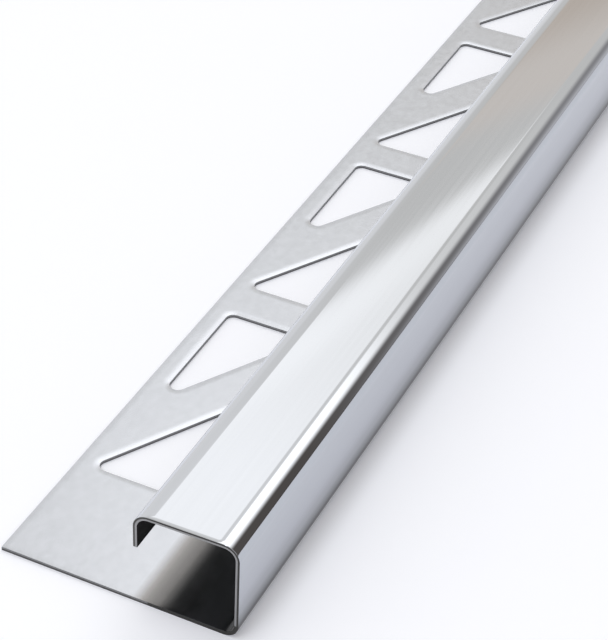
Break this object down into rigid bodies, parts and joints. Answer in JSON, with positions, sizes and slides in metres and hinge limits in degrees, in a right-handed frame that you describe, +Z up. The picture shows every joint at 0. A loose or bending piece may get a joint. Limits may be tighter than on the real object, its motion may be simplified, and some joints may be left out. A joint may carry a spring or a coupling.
{
  "type": "tile edge trim",
  "caption": "Square-edge tile trim of bent stainless sheet: a perforated anchoring flange, an upright wall, a flat top and a short down-turned lip that the tile edge meets.",
  "frame": {"origin": "middle of the width and of the length, on the underside of the flange", "axes": "+X across, from the free edge of the flange to the wall; +Y along the length; +Z up from the bed"},
  "size_m": [0.0282, 1, 0.0125],
  "materials": {
    "stainless_steel": "bright rolled stainless sheet, satin on the flange"
  },
  "bodies": {
    "root": {"edge_trim": "stainless_steel"}
  },
  "joints": []
}
